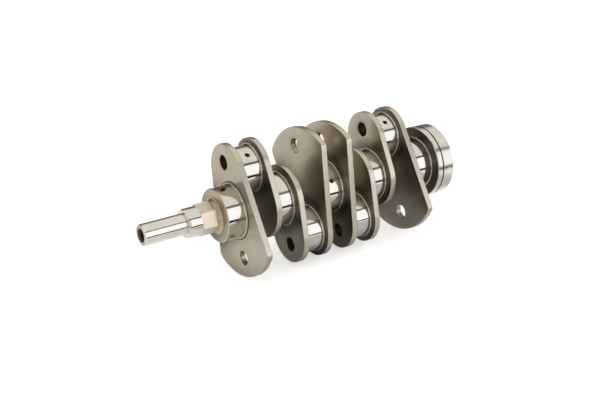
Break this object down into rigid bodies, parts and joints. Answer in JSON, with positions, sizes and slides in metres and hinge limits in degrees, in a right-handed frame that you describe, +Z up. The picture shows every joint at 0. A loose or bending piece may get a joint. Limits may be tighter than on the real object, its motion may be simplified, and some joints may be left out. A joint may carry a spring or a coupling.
{
  "type": "crankshaft",
  "caption": "Billet crankshaft for a flat engine: stepped nose with hexagonal pump drive, polished journals, flat webs with drilled counterweights, round flywheel flange.",
  "frame": {"origin": "on the main journal axis, halfway along the shaft", "axes": "+X along the shaft from the pulley snout to the flywheel flange, +Z up with the end counterweights lowest, and the throws of cylinders 1 and 4 leaning 21.3 degrees from +Z towards +Y"},
  "size_m": [0.3898, 0.1376, 0.15],
  "materials": {
    "web_steel": "satin, warm grey, fine turned grain, bright broken edges",
    "journal_steel": "mirror polished",
    "ground_steel": "fine ground, bright",
    "drive_steel": "milled, warm satin"
  },
  "bodies": {
    "root": {"pulley_snout": "ground_steel", "front_seal_land": "ground_steel", "oil_pump_drive": "drive_steel", "nose_collar": "drive_steel", "main_journal_1": "journal_steel", "web_1": "web_steel", "rod_journal_1": "journal_steel", "web_2": "web_steel", "main_journal_2": "journal_steel", "web_3": "web_steel", "rod_journal_2": "journal_steel", "web_4": "web_steel", "main_journal_3": "journal_steel", "web_5": "web_steel", "rod_journal_3": "journal_steel", "web_6": "web_steel", "main_journal_4": "journal_steel", "web_7": "web_steel", "rod_journal_4": "journal_steel", "web_8": "web_steel", "main_journal_5": "journal_steel", "oil_slinger": "ground_steel", "flywheel_flange": "ground_steel"}
  },
  "joints": []
}
